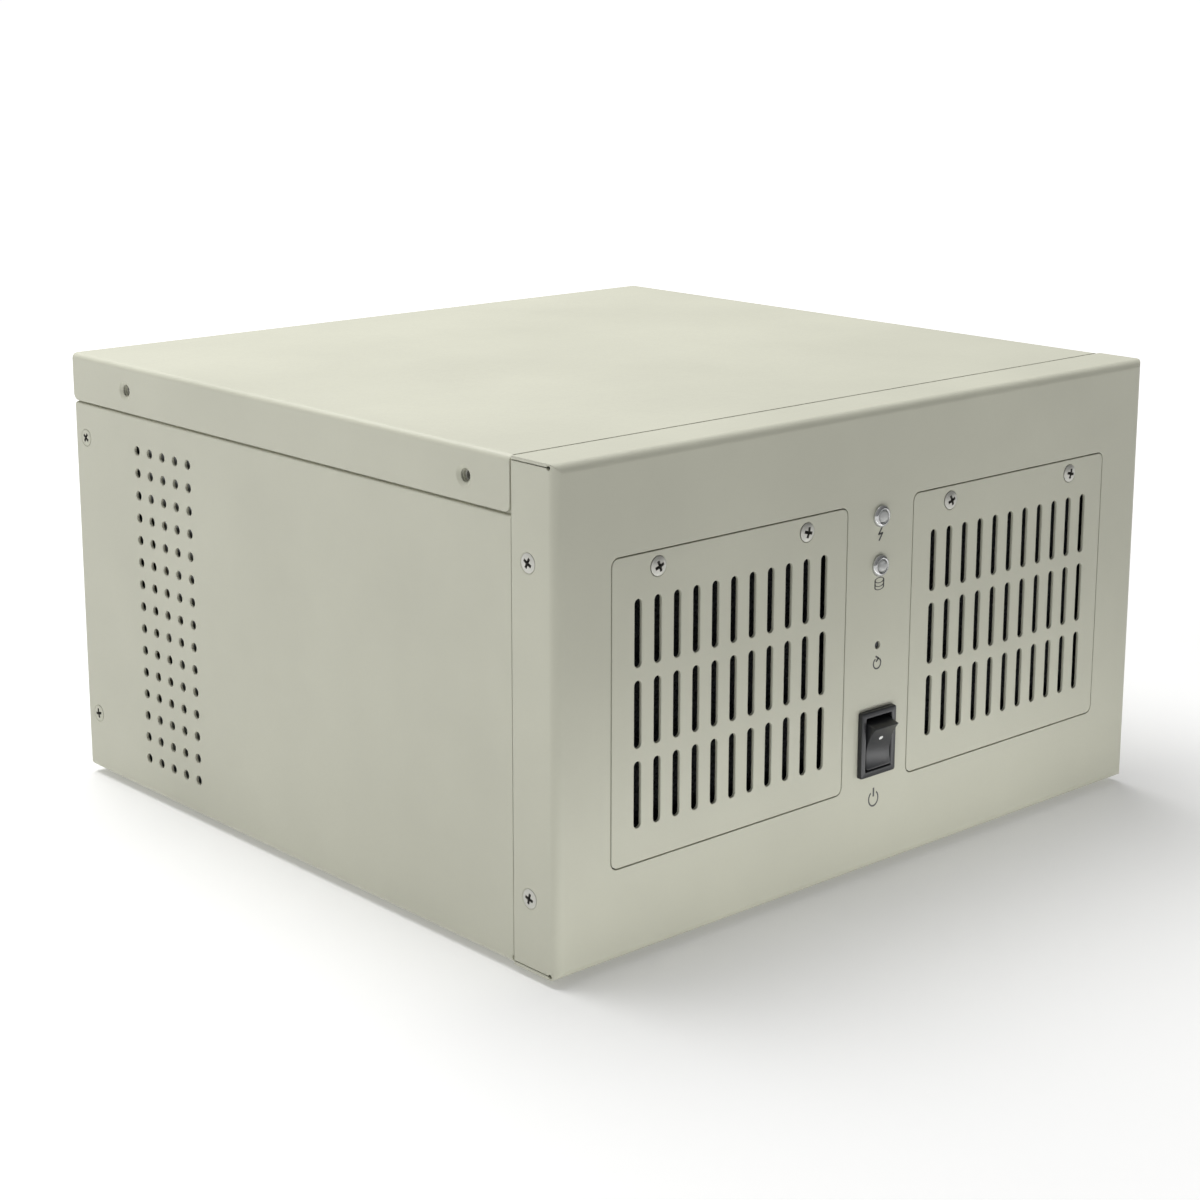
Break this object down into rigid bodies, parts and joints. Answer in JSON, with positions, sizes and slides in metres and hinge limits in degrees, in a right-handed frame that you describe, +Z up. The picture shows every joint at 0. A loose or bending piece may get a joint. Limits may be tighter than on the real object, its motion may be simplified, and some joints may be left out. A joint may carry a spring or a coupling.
{
  "type": "desktop computer",
  "caption": "Squat folded-steel desktop computer with hinged slotted filter doors, rocker power switch, lift-off lid, fans, power supply, board and drive.",
  "frame": {"origin": "centre of the footprint at the level of the feet's undersides", "axes": "+Z up, the front panel faces -Y, +X is to the right of a person facing the front"},
  "size_m": [0.34, 0.3416, 0.194],
  "materials": {
    "case_paint": "fine textured beige-grey powder coat",
    "inner_steel": "zinc-plated sheet, satin",
    "nickel": "bright nickel plating",
    "black_plastic": "moulded, fine grain",
    "switch_plastic": "satin moulded black",
    "rubber": "matt",
    "foam": "open-cell filter foam",
    "lens": "clear moulded lens",
    "circuit_board": "green solder mask",
    "brass": "turned, satin",
    "aluminium": "extruded, satin",
    "white_plastic": "moulded",
    "supply_steel": "galvanised sheet",
    "supply_board": "paper laminate with parts",
    "capacitor": "printed sleeve",
    "black_cable": "sleeved bundle",
    "red_cable": "extruded jacket",
    "grey_cable": "extruded jacket"
  },
  "bodies": {
    "chassis": {"base_pan": "case_paint", "front_plate": "case_paint", "rear_panel": "case_paint", "front_bezel": "case_paint", "case_screws": "case_paint", "lid_nuts": "nickel", "feet": "rubber", "left_filter_tray": "case_paint", "right_filter_tray": "case_paint", "left_filter": "foam", "right_filter": "foam", "left_fan_frame": "black_plastic", "right_fan_frame": "black_plastic", "fan_screws": "nickel", "light_holders": "nickel", "light_lenses": "lens", "front_board": "circuit_board", "reset_switch": "black_plastic", "rocker_housing": "switch_plastic", "rocker_terminals": "brass", "io_shield": "inner_steel", "io_ports": "inner_steel", "slot_covers": "inner_steel", "hex_screws": "nickel", "motherboard": "circuit_board", "standoffs": "brass", "board_screws": "nickel", "memory_sockets": "black_plastic", "memory_modules": "circuit_board", "card_sockets": "black_plastic", "board_connectors": "white_plastic", "board_capacitors": "capacitor", "chipset_heatsink": "aluminium", "cpu_heatsink": "aluminium", "cpu_fan_frame": "black_plastic", "psu_case": "supply_steel", "psu_cover": "supply_steel", "psu_board": "supply_board", "psu_fan_frame": "black_plastic", "psu_fan_guard": "nickel", "mains_inlet": "black_plastic", "psu_switch_housing": "switch_plastic", "hard_drive": "aluminium", "drive_bracket": "inner_steel", "power_harness": "black_cable", "data_cable": "red_cable", "front_panel_lead": "grey_cable"},
    "lid": {"lid": "case_paint"},
    "left_door": {"left_door": "case_paint", "left_door_screws": "nickel"},
    "right_door": {"right_door": "case_paint", "right_door_screws": "nickel"},
    "power_rocker": {"rocker_paddle": "switch_plastic"},
    "reset_button": {"reset_button": "black_plastic"},
    "left_fan": {"left_fan_rotor": "black_plastic"},
    "right_fan": {"right_fan_rotor": "black_plastic"},
    "cpu_fan": {"cpu_fan_rotor": "black_plastic"},
    "psu_fan": {"psu_fan_rotor": "black_plastic"},
    "psu_switch": {"psu_switch_paddle": "switch_plastic"}
  },
  "joints": [
    {"name": "lid_lift", "type": "slide", "parent": "chassis", "child": "lid", "axis": [0, 0, 1], "range_m": [0, 0.12]},
    {"name": "left_door_tilt", "type": "hinge", "parent": "chassis", "child": "left_door", "pos_m": [-0.0814, -0.16422, 0.0393], "axis": [1, 0, 0], "range_deg": [0, 70]},
    {"name": "right_door_tilt", "type": "hinge", "parent": "chassis", "child": "right_door", "pos_m": [0.0814, -0.16422, 0.0393], "axis": [1, 0, 0], "range_deg": [0, 70]},
    {"name": "power_rocker_tilt", "type": "hinge", "parent": "chassis", "child": "power_rocker", "pos_m": [0, -0.16242, 0.0572], "axis": [1, 0, 0], "range_deg": [-24, 0]},
    {"name": "reset_press", "type": "slide", "parent": "chassis", "child": "reset_button", "axis": [0, 1, 0], "range_m": [0, 0.0006], "stiffness_N_per_m": 400, "springref_m": -0.001},
    {"name": "left_fan_spin", "type": "hinge", "parent": "chassis", "child": "left_fan", "pos_m": [-0.0814, -0.14302, 0.0961], "axis": [0, 1, 0], "continuous": true},
    {"name": "right_fan_spin", "type": "hinge", "parent": "chassis", "child": "right_fan", "pos_m": [0.0814, -0.14302, 0.0961], "axis": [0, 1, 0], "continuous": true},
    {"name": "cpu_fan_spin", "type": "hinge", "parent": "chassis", "child": "cpu_fan", "pos_m": [0.0663, 0.06508, 0.0573], "axis": [0, 0, 1], "continuous": true},
    {"name": "psu_fan_spin", "type": "hinge", "parent": "chassis", "child": "psu_fan", "pos_m": [-0.1225, 0.13258, 0.0632], "axis": [0, 1, 0], "continuous": true},
    {"name": "psu_switch_tilt", "type": "hinge", "parent": "chassis", "child": "psu_switch", "pos_m": [-0.0965, 0.15718, 0.1252], "axis": [1, 0, 0], "range_deg": [0, 24]}
  ]
}
